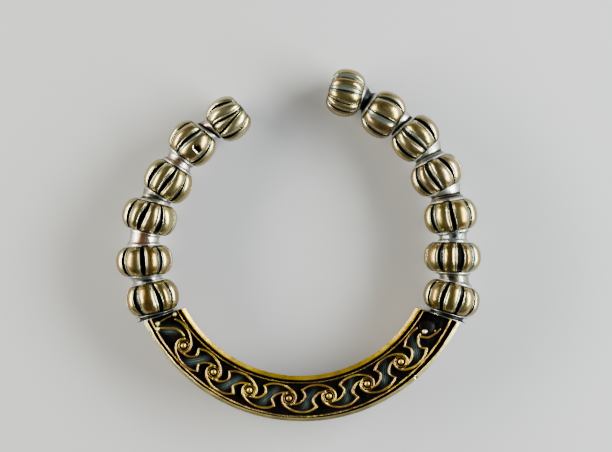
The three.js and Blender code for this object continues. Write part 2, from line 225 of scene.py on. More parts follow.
def make_worn_skin():
    """Colour, metal share, roughness and relief of rubbed and patinated copper alloy, with painted
    highlights and painted shade.
    """
    group, entry, leave = new_group(
        "Worn skin",
        [
            ("Vector", ["Own place"]),
            ("Float", ["Recess", "Edge", "Tone", "Bloom", "Wax", "Metal", "Polish"]),
            ("Color", SKIN_COLORS),
        ],
        [("Color", ["Color"]), ("Float", ["Metallic", "Roughness", "Wax", "Height"])],
    )
    given = entry.outputs
    makers = (math_node, ramp_node, blend_node, noise_node)
    sums, ramp, blend, noise = (partial(maker, group) for maker in makers)
    own = given["Own place"]
    cloud = noise(own, 0.16, 4.0)
    streak = noise(own, 1.0, 5.0, 0.62, stretch=(1.5, 1.5, 0.16))
    speck = noise(own, 2.6, 4.0, 0.7)
    fine = noise(own, 7.0, 3.0, 0.6)
    # Brown skin in soft clouds, warmer on some lobes than on others.
    warmth = sums("SUBTRACT", given["Tone"], 0.5)
    warmth = ramp(sums("ADD", cloud, warmth), 0.38, 0.72)
    skin = blend(warmth, given["Skin"], given["Warm skin"])
    # Long rubbing strokes bring up the paler metal.
    stroke = ramp(streak, 0.5, 0.75, 0.0, 0.45)
    worn = blend(stroke, skin, given["Rubbed"])
    # Ridges are rubbed bright and painted highlights laid on, a little broken by specks.
    broken = sums("MULTIPLY", given["Edge"], ramp(speck, 0.3, 0.5, 0.55, 1.0))
    bright = blend(broken, worn, given["Rubbed"])
    # Dirt and painted shade fill the low places, with green verdigris here and there.
    green = ramp(speck, 0.5, 0.72, 0.0, 0.8)
    dirt = blend(green, given["Dirt"], given["Verdigris"])
    ragged = sums("MULTIPLY", sums("SUBTRACT", speck, 0.5), 0.3)
    dirty = ramp(sums("ADD", given["Recess"], ragged), 0.3, 0.7)
    color = blend(dirty, bright, dirt)
    # A grey bloom lies in the shallow channels, with painted light where their side is lit,
    # and painted glints lie in streaks on the sunk ground.
    veil = ramp(streak, 0.3, 0.62, 0.55, 1.0)
    veil = sums("MULTIPLY", given["Bloom"], veil, clamp=True)
    color = blend(veil, color, given["Grey bloom"])
    # Small dark pits anywhere on the skin.
    pit = ramp(fine, 0.3, 0.22)
    color = blend(sums("MULTIPLY", pit, 0.6), color, given["Dirt"])
    dulled = sums("SUBTRACT", 1.0, sums("MULTIPLY", veil, 0.3))
    metallic = sums("MULTIPLY", given["Metal"], dulled, clamp=True)
    # Dirt and painted shade are duller and carry no wax.
    rough = sums("MULTIPLY", given["Polish"], ramp(cloud, 0.3, 0.7, 0.8, 1.2))
    rough = sums("ADD", rough, ramp(dirty, 0.0, 1.0, 0.0, 0.15))
    wax = sums("MULTIPLY", given["Wax"], ramp(dirty, 0.0, 1.0, 1.0, 0.15))
    height = sums("MULTIPLY", streak, 0.7)
    height = sums("ADD", height, sums("MULTIPLY", fine, 0.3))
    made = {"Color": color, "Metallic": metallic, "Roughness": rough, "Wax": wax, "Height": height}
    for label, socket in made.items():
        group.links.new(socket, leave.inputs[label])
    return group


WORN_SKIN = make_worn_skin()


def attribute_node(tree, name, output):
    """A mask or place that the mesh carries on its vertices."""
    node = tree.nodes.new("ShaderNodeAttribute")
    node.attribute_name = name
    return node.outputs[output]


def add_bump(tree, height, strength, distance):
    """Fine relief on the finish, from a height socket; the distance is in metres."""
    relief = tree.nodes.new("ShaderNodeBump")
    relief.inputs["Strength"].default_value = strength
    relief.inputs["Distance"].default_value = distance
    tree.links.new(height, relief.inputs["Height"])
    tree.links.new(relief.outputs["Normal"], tree.nodes["Principled BSDF"].inputs["Normal"])


COAT_ROUGHNESS = 0.16
BUMP_DISTANCE = 0.0002


def new_material(name):
    """A material with its tree and its shader."""
    material = bpy.data.materials.new(name)
    material.use_nodes = True
    return material, material.node_tree, material.node_tree.nodes["Principled BSDF"]


def copper_alloy(name, bump, values, colors):
    """A finish of worn copper alloy; the colours come in the order of SKIN_COLORS."""
    material, tree, shader = new_material(name)
    skin = tree.nodes.new("ShaderNodeGroup")
    skin.node_tree = WORN_SKIN
    tree.links.new(attribute_node(tree, "own", "Vector"), skin.inputs["Own place"])
    for mask in ("recess", "edge", "tone", "bloom"):
        tree.links.new(attribute_node(tree, mask, "Fac"), skin.inputs[mask.capitalize()])
    for socket, value in values.items():
        skin.inputs[socket].default_value = value
    for socket, color in zip(SKIN_COLORS, colors):
        skin.inputs[socket].default_value = (*color, 1)
    for given, taken in (("Color", "Base Color"), ("Wax", "Coat Weight")):
        tree.links.new(skin.outputs[given], shader.inputs[taken])
    for socket in ("Metallic", "Roughness"):
        tree.links.new(skin.outputs[socket], shader.inputs[socket])
    shader.inputs["Coat Roughness"].default_value = COAT_ROUGHNESS
    add_bump(tree, skin.outputs["Height"], bump, BUMP_DISTANCE)
    return material


# %% The finishes
BEAD_FINISH = copper_alloy(
    "rubbed bead brass",
    0.25,
    {"Wax": 0.35, "Metal": 0.95, "Polish": 0.27},
    [
        (0.6, 0.57, 0.38), (0.25, 0.19, 0.038), (0.19, 0.11, 0.018),
        (0.0015, 0.0015, 0.0015), (0.005, 0.008, 0.007), (0.1, 0.14, 0.125),
    ],
)
SPACER_FINISH = copper_alloy(
    "pale spacer metal",
    0.4,
    {"Wax": 0.2, "Metal": 0.9, "Polish": 0.3},
    [
        (0.6, 0.59, 0.52), (0.15, 0.14, 0.1), (0.2, 0.095, 0.04),
        (0.003, 0.004, 0.003), (0.01, 0.016, 0.016), (0.07, 0.1, 0.105),
    ],
)
COLLAR_FINISH = copper_alloy(
    "worn collar brass",
    0.25,
    {"Wax": 0.1, "Metal": 0.92, "Polish": 0.32},
    [
        (0.66, 0.6, 0.3), (0.5, 0.31, 0.006), (0.3, 0.12, 0.004),
        (0.003, 0.002, 0.0015), (0.01, 0.017, 0.014), (0.13, 0.19, 0.17),
    ],
)


def make_rod_finish():
    """Corroded iron: black-brown with a little rust."""
    material, tree, shader = new_material("corroded iron")
    own = attribute_node(tree, "own", "Vector")
    cloud = noise_node(tree, own, 0.9, 5.0, 0.65)
    rust = ramp_node(tree, cloud, 0.4, 0.7)
    color = blend_node(tree, rust, (0.012, 0.01, 0.009, 1), (0.07, 0.035, 0.02, 1))
    tree.links.new(color, shader.inputs["Base Color"])
    tree.links.new(ramp_node(tree, cloud, 0.3, 0.7, 0.5, 0.85), shader.inputs["Roughness"])
    shader.inputs["Metallic"].default_value = 0.4
    add_bump(tree, cloud, 0.6, 0.0003)
    return material


ROD_FINISH = make_rod_finish()
print("finishes:", [m.name for m in (BEAD_FINISH, SPACER_FINISH, COLLAR_FINISH, ROD_FINISH)])

# %% [markdown]
# ## The melon beads
# Each bead is a hollow casting with eight crowned lobes. Between two lobes a deep channel is
# chased out, with a narrow shelf left on each side of it, and a fine line is cut where the shelf
# meets the lobe. The channels die away towards the flat ends. The beads grow from the open back to
# the collar, and each one was finished by hand, so no two channels run quite alike.

# %% Where the beads stand
# Where the bead's middle is, how wide it is, how far its axis is off the ring's tangent, its flat
# ends as a share of the radius, how brown it is, how pale it is worn, and the channels that show.
Bead = namedtuple("Bead", "bearing reach girth lean shoulder warm rub channels")
# A channel's angle at the bead's start, middle and end is in degrees round from the top. Then come
# half the width of its black core of dirt and painted shade, one value or three, the shelf on its
# near and far side, and how far a grey bloom with painted light on the channel's lit side spreads
# in from that side (negative: the near one).
LEFT_BEADS = [
    Bead(119.9, 65.2, 21, 11, 0.56, 0.35, 0.35, [
        ((-28, -46, -58), (3, 6, 4), 3, 1, 0), ((4, -1, -14), (2.4, 2.2, 3.2), 9, 1.5, 0),
        ((11, 14, 25), (2.2, 2.4, 4.5), 1, 1.5, 0), ((47, 50, 48), (1.2, 2.2, 7), 2, 2, 0),
    ]),
    Bead(137, 66.5, 22, 3, 0.6, 0.35, 0.12, [
        ((-52, -56, -60), 3, 3, 3, 0), ((-5, -13, -18), (4.4, 3.8, 3.6), 4.5, 8, 0.55),
        ((46, 48, 46), (2.4, 2.8, 5), 5, 4, 0),
    ]),
    Bead(154.5, 65.8, 23, -6, 0.62, 0.25, 0.1, [
        ((-37, -42, -47), (4, 6.5, 6), 3, 6, 0), ((5, 2, -2), (3, 4.6, 3.8), 8, 6, 0),
        ((42, 43, 46), (1.6, 2.4, 6), 3, 3, 0.3),
    ]),
    Bead(169.8, 69, 25, -4, 0.62, 0.4, 0.08, [
        ((-44, -49, -55), (4, 5, 5), 4, 4, 0), ((-4, -10, -18), (4.2, 6.2, 5.5), 4.5, 4, 0),
        ((28, 31, 32), (2.2, 4, 7.5), 7, 3, 0),
    ]),
    Bead(186.1, 70.5, 26, -2, 0.62, 0.6, 0, [
        ((-46, -47, -46), 4.6, 4, 5, 0.3), ((0, 0, 0), 6.2, 3, 2.5, 0),
        ((40, 41, 40), (3, 3.8, 3.4), 3.5, 2.5, -0.4),
    ]),
    Bead(199.9, 70.8, 25, -7, 0.62, 0.5, 0, [
        ((-35, -35, -34), (5.5, 7, 6), 3, 3, 0), ((13, 18, 22), (3, 4.8, 5.6), 7, 2.5, 0),
        ((47, 50, 53), 2.4, 3, 3.5, 0),
    ]),
]
RIGHT_BEADS = [
    Bead(73.4, 71.2, 22.4, 0, 0.54, 0.6, 0.1, [
        ((-54, -56, -60), 3, 3, 3, 0.5), ((-30, -31, -33), (1.8, 1.6, 1.2), 2, 3.5, 0),
        ((0, 5, 8), (6, 7, 6), 1.5, 2.5, 0.9), ((38, 41, 42), (7, 6, 4), 2, 3, 0.75),
    ]),
    Bead(57.3, 69.3, 22.4, -2, 0.56, 0.65, 0.1, [
        ((-55, -57, -60), 3.5, 3, 3, 0.5), ((-19, -13, -6), (6, 7.5, 5), 3, 2.5, -0.85),
        ((35, 41, 42), (6.5, 4.5, 3), 2, 3, 0.4),
    ]),
    Bead(42.6, 70.3, 23.3, -1, 0.62, 0.3, 0.1, [
        ((-50, -49, -47), 5, 3, 4, 0.4), ((-12, -7, -3), (5.2, 4.4, 3.6), 6.5, 8, 0.6),
        ((38, 40, 39), (6.8, 5.6, 3.8), 6, 2, 0),
    ]),
    Bead(26.9, 68.6, 24.2, -1, 0.62, 0.6, 0.15, [
        ((-53, -51, -44), 5, 3, 3, 0.5), ((-17, -15, -9), (5.6, 4.2, 3.8), 4, 8, 0.45),
        ((24, 32, 36), (6.4, 3.6, 2), 5, 3, 0),
    ]),
    Bead(10.6, 68.6, 25, -1, 0.62, 0.35, 0, [
        ((-48, -48, -46), 4.4, 3, 7, 0.5), ((1, 0, 3), (4.6, 4.8, 5.4), 6, 3.5, 0),
        ((44, 47, 48), 2.6, 3, 3, -0.4),
    ]),
    Bead(-4.8, 68.6, 26, 4, 0.62, 0.5, 0, [
        ((-31, -31, -31), (5.2, 6.2, 5.6), 4, 3, 0), ((13, 14, 14), (6.2, 7.2, 6.6), 8, 3, 0),
        ((46, 47, 46), 3, 3, 4, 0.8),
    ]),
    Bead(-19.6, 72, 26, 4, 0.62, 0.5, 0, [
        ((-60, -60, -60), 3.5, 3, 3, 0), ((-21, -22, -22), 4.4, 4, 4, 0),
        ((17, 16, 16), 4.4, 4, 4, 0), ((55, 55, 55), 3.5, 3, 3, 0),
    ]),
]
HIDDEN_CHANNEL = (3.5, 3, 3, 0)  # the same values for one on the underside
LOBES = 8
LONGEST_BEAD = 15.4
SMALLEST_GIRTH = 21
SHORTENING = 0.44
LIFT = 0.15
UP = np.array([0.0, 0.0, 1.0])


def pose_of(bead, turn):
    """The bead's size, centre and axis; turn is 1 where the string runs with the bearings."""
    heading = math.radians(bead.bearing + 90 * turn + bead.lean)
    return {
        "radius": bead.girth / 2,
        "half": (LONGEST_BEAD - SHORTENING * (bead.girth - SMALLEST_GIRTH)) / 2,
        "centre": polar(bead.bearing, bead.reach, bead.girth / 2 + LIFT),
        "axis": np.array([math.cos(heading), math.sin(heading), 0.0]),
    }


def channels_round(shown):
    """The channels that show, then the rest spread evenly over the underside."""
    first, last = np.array(shown[0][0]), np.array(shown[-1][0])
    hidden = LOBES - len(shown)
    rows = list(shown)
    for i in range(hidden):
        share = (i + 1) / (hidden + 1)
        rows.append((last + (first + 360 - last) * share, *HIDDEN_CHANNEL))
    rows.append((first + 360, *shown[0][1:]))
    return rows


# %% The shape of a bead
BORE = 4.6
CROWN = 0.75
CHANNEL_DEPTH = 1.9
CHANNEL_END_SHARE = 0.3
SHELF_DEPTHS = (0.72, 0.42)
CUT_LINE_DEPTH = 0.32
CUT_LINE_AT = 1.93
CORE_STOPS = (-0.8, 0, 0.8)  # places along the bead where a channel's width is given
# Steps from a channel's middle to the crest of its lobe: 0 to 1 is the channel, 1 to 2 its shelf
# and 2 to 3 the lobe, sampled closer where it is finer.
ACROSS = np.array(
    [0, 0.4, 0.75, 0.9, 1.0, 1.1, 1.25, 1.5, 1.72, 1.84, 1.93, 2.0]
    + [2.06, 2.14, 2.26, 2.4, 2.55, 2.7, 2.85, 3.0]
)


def bead_section(pose, shoulder):
    """The bead's profile from bore to bore and back inside: radius and place along the axis."""
    radius, half = pose["radius"], pose["half"]
    latitude = np.radians(np.linspace(-90, 90, 41))
    curve_r = shoulder + (radius - shoulder) * np.cos(latitude)
    curve_z = half * np.sin(latitude)
    face = np.linspace(BORE, shoulder, 6, endpoint=False)
    inside = np.linspace(half, -half, 5)[1:-1]
    r = np.concatenate([face, curve_r, face[::-1], np.full(len(inside), BORE)])
    z = np.concatenate([np.full(len(face), -half), curve_z, np.full(len(face), half), inside])
    return r, z


def channel_angle(channel, along):
    """Degrees round from the top at a place along the bead, from -1 to 1."""
    start, middle, end = channel[0]
    return middle + (end - start) / 2 * along + ((start + end) / 2 - middle) * along**2


def half_lobe(channel, angle, half_pitch, side, along, swell):
    """One side of a channel up to the crest: where its columns stand and what they are."""
    core, shelf, spread = channel[1], channel[3 if side > 0 else 2], channel[4]
    core = np.interp(along, CORE_STOPS, np.broadcast_to(core, 3))
    tight = np.clip(0.8 * half_pitch / (core + shelf), 0, 1)
    core = core * tight * (0.6 + 0.4 * np.sqrt(swell))
    shelf = 0.8 * shelf * tight * (0.55 + 0.45 * np.sqrt(swell))
    steps = ACROSS[None, :]
    away = core * np.clip(steps, 0, 1) + shelf * np.clip(steps - 1, 0, 1)
    away = away + (half_pitch - core - shelf) * np.clip(steps - 2, 0, 1)
    # The bloom, a grey crust with painted light on the channel's lit side, comes in from one side,
    # and reaches further across the wider it spreads.
    sided = side * math.copysign(1, spread) * np.clip(away / (core + shelf), 0, 1)
    start = 1.3 - 1.9 * abs(spread)
    bloom = smoothstep(start, start + 0.4, sided) * (steps < 1.9) * (spread != 0)
    floor = CHANNEL_DEPTH * (1 - 0.45 * abs(spread))
    same = 0 * away
    return {
        "angle": angle + side * away, "steps": steps + same, "bloom": bloom, "floor": floor + same
    }


def bead_columns(channels, along, swell):
    """All the columns round a bead, lobe after lobe."""
    halves = []
    for lobe, (near, far) in enumerate(zip(channels[:-1], channels[1:])):
        near_angle, far_angle = channel_angle(near, along), channel_angle(far, along)
        half_pitch = (far_angle - near_angle) / 2
        rising = half_lobe(near, near_angle, half_pitch, 1, along, swell)
        falling = half_lobe(far, far_angle, half_pitch, -1, along, swell)
        falling = {key: values[:, -2:0:-1] for key, values in falling.items()}
        for half in (rising, falling):
            halves.append({**half, "lobe": np.full(half["angle"].shape, lobe)})
    return {key: np.concatenate([half[key] for half in halves], axis=1) for key in halves[0]}


def make_bead(name, bead, turn, torn):
    """A melon bead with its lobes, shelves and channels, and its masks."""
    pose = pose_of(bead, turn)
    radius, half = pose["radius"], pose["half"]
    shoulder = bead.shoulder * radius
    seed = sum(map(ord, name))
    random = np.random.default_rng(seed)
    r, z = bead_section(pose, shoulder)
    swell = np.clip((r - shoulder) / (radius - shoulder), 0, 1)[:, None]
    ring = bead_columns(channels_round(bead.channels), (z / half)[:, None], swell)
    steps, lobe = ring["steps"], ring["lobe"]
    reach, along = r[:, None] + 0 * steps, z[:, None] + 0 * steps
    lobe_height = random.uniform(-0.12, 0.06, LOBES)[lobe]
    lobe_tone = np.clip(bead.warm + random.uniform(-0.25, 0.25, LOBES), 0, 1)[lobe]
    on_skin = smoothstep(BORE + 0.4, BORE + 1.2, reach)
    share = (CHANNEL_END_SHARE + (1 - CHANNEL_END_SHARE) * np.sqrt(swell)) * on_skin
    # The lobe, its shelf, the line cut between them, and the channel.
    to_crest = np.clip(steps - 2, 0, 1)
    lobe_depth = CROWN * (1 - to_crest) ** 2.2 - lobe_height * smoothstep(0.1, 0.7, to_crest)
    shelf_depth = SHELF_DEPTHS[0] + (SHELF_DEPTHS[1] - SHELF_DEPTHS[0]) * np.clip(steps - 1, 0, 1)
    on_lobe = smoothstep(1.9, 2.0, steps)
    line = hump(steps, CUT_LINE_AT, 0.1)
    in_core = smoothstep(1.12, 0.9, steps)
    depth = shelf_depth + (lobe_depth - shelf_depth) * on_lobe + CUT_LINE_DEPTH * line
    depth = depth + (ring["floor"] - depth) * in_core
    turn_angle = np.radians(ring["angle"])
    out = reach - depth * share
    own = np.stack([out * np.sin(turn_angle), out * np.cos(turn_angle), along], axis=-1)
    flat = own.reshape(-1, 3)
    skin = (swell * on_skin).ravel()
    dents = 0.05 * waves(flat, 8.0, seed) + 0.01 * waves(flat, 2.4, seed + 1)
    sides = np.stack([np.sin(turn_angle), np.cos(turn_angle), 0 * along], axis=-1).reshape(-1, 3)
    flat = flat - sides * (np.abs(dents) * skin)[:, None]
    # Painted light with the grey bloom on a channel's lit side; the channels' black cores are dirt
    # and painted shade, the cut lines dirt, and the bore ends and narrowing ends painted shade
    # where the beads meet the spacers.
    bloom = ring["bloom"] * on_skin
    recess = smoothstep(1.3, 1.1, steps) * smoothstep(0.0, 0.12, share) * (1 - bloom)
    recess = np.maximum(recess, 0.85 * line * on_skin * (1 - 0.5 * bloom))
    recess = np.maximum(recess, 0.9 * (1 - on_skin))
    recess = np.clip(recess + 0.8 * smoothstep(0.56, 0.16, swell) * on_skin, 0, 1)
    # Painted highlights on the shelves and the lobes' flanks, and paler rubbing where a bead is
    # worn.
    shelf_light = 0.9 * smoothstep(1.25, 1.45, steps) * smoothstep(1.88, 1.75, steps)
    flank_light = 0.35 * smoothstep(0.5, 0.1, to_crest) * on_lobe
    bright = np.maximum(np.maximum(shelf_light, flank_light), bead.rub) * np.sqrt(swell)
    tone = lobe_tone + 0.3 * smoothstep(0.3, 0.9, to_crest) - 0.15
    across = np.cross(UP, pose["axis"])
    points = pose["centre"] + flat[:, :1] * across + flat[:, 1:2] * UP
    points = points + flat[:, 2:3] * pose["axis"]
    recess, bright = recess.ravel(), bright.ravel()
    if torn:
        points, recess, bright = tear(points, recess, bright, pose)
    made = mesh_object(
        name + "_fine",
        points,
        wrapped_quads(*steps.shape),
        floats={"recess": recess, "edge": bright, "tone": tone.ravel(), "bloom": bloom.ravel()},
        vectors={"own": flat + seed % 97},
    )
    hand_over(made, name, BEAD_FINISH)
    return pose


# %% [markdown]
# One bead of the left string is torn open on top. The thin wall is pushed in to a small ragged
# pit whose floor is painted dark as the shade inside the hollow bead, with a bright lip on its
# near side. It is worked into the same skin of points.

# %% The torn hole
TEAR_PLACE = np.array([2.7, -2.7])
TEAR_SIZE = (1.15, 1.75)
TEAR_TURN = math.radians(35)
TEAR_FLOOR = 6.5


def tear(points, recess, bright, pose):
    """Pushes the skin in at the tear, paints its floor with shade, and marks its bright lip."""
    local = points[:, :2] - pose["centre"][:2] - TEAR_PLACE
    on_top = points[:, 2] > pose["centre"][2] + 0.5 * pose["radius"]
    u = local[:, 0] * math.cos(TEAR_TURN) + local[:, 1] * math.sin(TEAR_TURN)
    v = -local[:, 0] * math.sin(TEAR_TURN) + local[:, 1] * math.cos(TEAR_TURN)
    angle = np.arctan2(v, u)
    ragged = 1 + 0.14 * np.sin(3 * angle + 1) + 0.1 * np.sin(5 * angle)
    distance = np.hypot(u / TEAR_SIZE[0], v / TEAR_SIZE[1]) / ragged
    inside = smoothstep(1.12, 0.9, distance) * on_top
    floor = pose["centre"][2] + TEAR_FLOOR
    points = points.copy()
    near_side = smoothstep(0.2, -0.8, u + 0.5 * v)
    lip = hump(distance, 1.25, 0.2) * near_side * on_top
    points[:, 2] += 0.35 * lip
    points[:, 2] += inside * (floor - points[:, 2])
    # The pit's floor takes painted shade, where the real hole is dark inside.
    recess = np.maximum(recess * (1 - lip), inside)
    bright = np.maximum(bright, 1.2 * lip)
    return points, recess, bright


# %% Make the beads
left_poses = [
    make_bead(f"bead_left_{i + 1}", bead, 1, i == 1) for i, bead in enumerate(LEFT_BEADS)
]
right_poses = [
    make_bead(f"bead_right_{i + 1}", bead, -1, False) for i, bead in enumerate(RIGHT_BEADS)
]
print("beads:", len(left_poses) + len(right_poses))

# %% [markdown]
# ## The spacers
# Between the beads are waisted rings, thin at the rims. Some are smooth like a pulley. The others
# are two cones that meet in a crease painted dark with shade, which leans where the beads lean.
# They are paler and greyer than the beads, and each is stained, battered and rubbed in its own
# way, with painted highlights and painted shade laid on in patches.

# %% Where the spacers stand
# The radii of the two rims, the waist as a share of them, how far the crease leans, half its width
# (none: a smooth pulley), the battering, and the patches. A patch has its kind, how far it is
# round from the top in degrees and along from 0 to 1, half its width and length, and its strength.
# A light patch is a painted highlight, a dark one painted shade with some black patina, a brown
# one a stain and a bloom one a grey-green crust.
LEFT_SPACERS = [
    (6.7, 6.9, 0.68, -0.5, 0.17, 0.3, [
        ("brown", -40, 0.15, 42, 0.35, 1), ("light", -45, 0.15, 16, 0.14, 0.5),
        ("dark", -45, 0.9, 32, 0.25, 1), ("light", 38, 0.85, 28, 0.2, 0.8),
    ]),
    (7.3, 7.5, 0.84, 0, 0, 0.5, [
        ("light", -28, 0.3, 20, 0.25, 0.9), ("brown", 0, 0.55, 40, 0.5, 0.5),
        ("light", 38, 0.6, 20, 0.3, 0.9), ("dark", -3, 0.35, 9, 0.12, 0.8),
    ]),
    (8.2, 7.5, 0.8, -0.35, 0.06, 0.4, [
        ("brown", -10, 0.25, 60, 0.3, 0.3), ("dark", -15, 0.3, 45, 0.2, 0.75),
        ("dark", -55, 0.8, 28, 0.3, 0.9), ("light", 35, 0.8, 32, 0.25, 0.9),
    ]),
    (7, 7.6, 0.92, 0, 0, 0.2, [
        ("brown", -2, 0.5, 32, 2, 1), ("light", -48, 0.5, 20, 0.6, 0.8),
        ("light", 42, 0.5, 20, 0.6, 0.8),
    ]),
    (8, 7.5, 0.86, 0, 0, 0.3, [
        ("bloom", 0, 0.5, 70, 0.8, 0.6), ("dark", 3, 0.65, 28, 0.3, 1),
        ("dark", -18, 0.22, 28, 0.08, 0.8), ("light", -40, 0.7, 18, 0.25, 0.7),
        ("light", 40, 0.6, 20, 0.3, 0.7),
    ]),
    (9.7, 9.7, 0.8, 0, 0, 0.2, [("dark", 0, 0.5, 150, 0.6, 1)]),
]
RIGHT_SPACERS = [
    (6.4, 7, 0.7, 0.1, 0.3, 0.3, [
        ("dark", 0, 0.3, 90, 0.3, 0.9), ("light", -52, 0.9, 30, 0.16, 0.9),
        ("light", 30, 0.04, 25, 0.12, 0.5),
    ]),
    (7.2, 7.5, 0.74, 0.4, 0.17, 0.3, [
        ("light", 35, 0.2, 32, 0.22, 1), ("light", -52, 0.85, 26, 0.16, 0.8),
        ("dark", -40, 0.15, 30, 0.2, 0.9), ("dark", 40, 0.85, 30, 0.2, 0.9),
    ]),
    (8.2, 8.3, 0.8, 0.22, 0.09, 0.4, [
        ("light", 32, 0.2, 36, 0.25, 1), ("dark", 10, 0.75, 80, 0.16, 0.62),
        ("bloom", 0, 0.78, 60, 0.2, 0.9),
    ]),
    (8.4, 8.4, 0.78, 0.18, 0.08, 0.4, [
        ("light", 30, 0.2, 34, 0.25, 1), ("brown", 0, 0.8, 80, 0.2, 0.3),
        ("dark", 5, 0.7, 80, 0.13, 0.8),
    ]),
    (7.4, 7.1, 0.87, 0, 0, 1, [
        ("bloom", 0, 0.5, 70, 0.7, 1), ("dark", 3, 0.45, 17, 0.3, 1),
        ("light", 42, 0.72, 20, 0.25, 0.8), ("dark", 24, 0.16, 5, 0.1, 1.4),
        ("light", 36, 0.03, 12, 0.1, 1.2),
    ]),
    (8.2, 8, 0.84, 0, 0, 0.5, [("dark", -15, 0.5, 30, 0.5, 0.7)]),
    (9.7, 9.7, 0.8, 0, 0, 0.2, [("dark", 0, 0.5, 150, 0.6, 1)]),
]
CLEARANCE = 0.3
SPACER_BORE = 4.0
COLLAR_MIDDLE = -90.0
COLLAR_HALF_SPAN = 62.6
COLLAR_END_TURN = 9.0
SCROLL_RADIUS = 69.2


def collar_seat(last, turn):
    """The collar's end face where the last bead's axis meets it, as a pose with no length."""
    bearing = COLLAR_MIDDLE - turn * COLLAR_HALF_SPAN
    heading = math.radians(bearing + turn * (90 - COLLAR_END_TURN))
    axis = np.array([math.cos(heading), math.sin(heading), 0.0])
    face = polar(bearing, SCROLL_RADIUS)
    step = np.dot(face - last["centre"], axis) / np.dot(last["axis"], axis)
    return {"centre": last["centre"] + last["axis"] * step, "axis": axis, "half": 0}


# Places along a spacer from end to end, closer at the rims.
ALONG = [[0.0, 0.015, 0.05, 0.09, 0.12, 0.16], np.linspace(0.2, 0.8, 25)]
ALONG = np.concatenate([*ALONG, [0.84, 0.88, 0.91, 0.95, 0.985, 1.0]])
SPACER_COLUMNS = 128


def spacer_share(folded, waist, creased):
    """Share of the rim radius: a smooth pulley, or two cones where it is creased."""
    from_end = np.minimum(folded, 1 - folded)
    pulley = (1 - smoothstep(0.07, 0.36, from_end)) ** 1.6
    cones = (1 - 2 * from_end) ** 1.25
    return waist + (1 - waist) * (cones if creased else pulley) - 0.012 * (from_end < 0.01)


def patch_masks(patches, degrees, folded):
    """Where each kind of patch lies, from 0 to 1."""
    masks = {kind: 0 * degrees for kind in ("light", "dark", "brown", "bloom")}
    for kind, at, along, wide, long, strength in patches:
        patch = strength * hump(degrees, at, wide) * hump(folded, along, long)
        masks[kind] = np.maximum(masks[kind], patch)
    return {kind: np.clip(mask, 0, 1) for kind, mask in masks.items()}


def make_spacer(name, start_pose, end_pose, look):
    """A waisted ring that leans from one bead's end to the next one's."""
    start_rim, end_rim, waist, lean, crease_width, battering, patches = look
    seed = sum(map(ord, name)) + 500
    start = start_pose["centre"] + start_pose["axis"] * (start_pose["half"] + CLEARANCE)
    end = end_pose["centre"] - end_pose["axis"] * (end_pose["half"] + CLEARANCE)
    inner = np.linspace(1, 0, 6)
    t = np.concatenate([ALONG, inner])
    round_angle = np.linspace(-math.pi, math.pi, SPACER_COLUMNS, endpoint=False)
    tt, aa = np.meshgrid(t, round_angle, indexing="ij")
    # The crease wanders from one rim towards the other; folded is 0.5 on it.
    crease = 0.5 + lean * np.sin(aa)
    folded = np.where(tt < crease, 0.5 * tt / crease, 1 - 0.5 * (1 - tt) / (1 - crease))
    rr = (start_rim + (end_rim - start_rim) * tt) * spacer_share(folded, waist, crease_width > 0)
    rr[len(ALONG) :] = SPACER_BORE
    axis = start_pose["axis"] + (end_pose["axis"] - start_pose["axis"]) * tt[..., None]
    axis /= np.linalg.norm(axis, axis=-1, keepdims=True)
    across = np.cross(UP, axis)
    centre = start + (end - start) * tt[..., None]
    length = np.linalg.norm(end - start)
    own = np.stack([rr * np.sin(aa), rr * np.cos(aa), tt * length], axis=-1).reshape(-1, 3)
    outer = smoothstep(SPACER_BORE + 0.3, SPACER_BORE + 0.6, rr)
    wobble = (waves(own, 7.0, seed) * 0.1 + waves(own, 3.0, seed + 1) * 0.05).reshape(rr.shape)
    rr = rr - np.abs(wobble) * (0.5 + 1.6 * battering) * outer
    points = centre + (rr * np.sin(aa))[..., None] * across + (rr * np.cos(aa))[..., None] * UP
    spread = patch_masks(patches, np.degrees(aa), folded)
    # A painted highlight runs along each rim.
    lip = 0.8 * hump(np.minimum(tt, 1 - tt), 0.04, 0.04) * outer
    blots = smoothstep(0.5, 1.0, waves(own, 3.5, seed + 2)).reshape(tt.shape) * battering
    # Painted shade in the dark patches, the crease and the bore, and dark marks of battering.
    recess = np.maximum(spread["dark"], 0.7 * blots * (1 - spread["light"]))
    if crease_width:
        recess = np.maximum(recess, smoothstep(1.4, 0.7, np.abs(folded - 0.5) / crease_width))
    recess = np.maximum(recess * (1 - 0.8 * lip), 1 - outer)
    scratches = 0.4 * smoothstep(0.3, 1.0, waves(own, 5.0, seed + 3)).reshape(tt.shape)
    # Painted highlights from the rims and light patches, and pale scratches where the ring is
    # rubbed.
    edge = np.maximum(np.maximum(lip, spread["light"]), scratches * (1 - spread["brown"]))
    bloom = spread["bloom"] * outer * (1 - spread["dark"]) * (1 - lip)
    tone = np.clip(0.25 + 0.8 * spread["brown"], 0, 1)
    masks = {"recess": recess, "edge": edge, "tone": tone, "bloom": bloom}
    made = mesh_object(
        name + "_fine",
        points.reshape(-1, 3),
        wrapped_quads(len(t), SPACER_COLUMNS),
        floats={key: mask.ravel() for key, mask in masks.items()},
        vectors={"own": own + seed % 89},
    )
    hand_over(made, name, SPACER_FINISH)


# %% Make the spacers
seats = []
for side, poses, looks, turn in (
    ("left", left_poses, LEFT_SPACERS, 1),
    ("right", right_poses, RIGHT_SPACERS, -1),
):
    seat = collar_seat(poses[-1], turn)
    seats.append(seat)
    stops = [*poses, seat]
    for i, look in enumerate(looks):
        make_spacer(f"spacer_{side}_{i + 1}", stops[i], stops[i + 1], look)
print("spacers:", len(LEFT_SPACERS) + len(RIGHT_SPACERS))

# %% [markdown]
# ## The rods
# The beads hang together on two iron rods that follow the ring and end in the collar. Almost
# nothing of them shows, only black iron in the bores and in the torn bead.

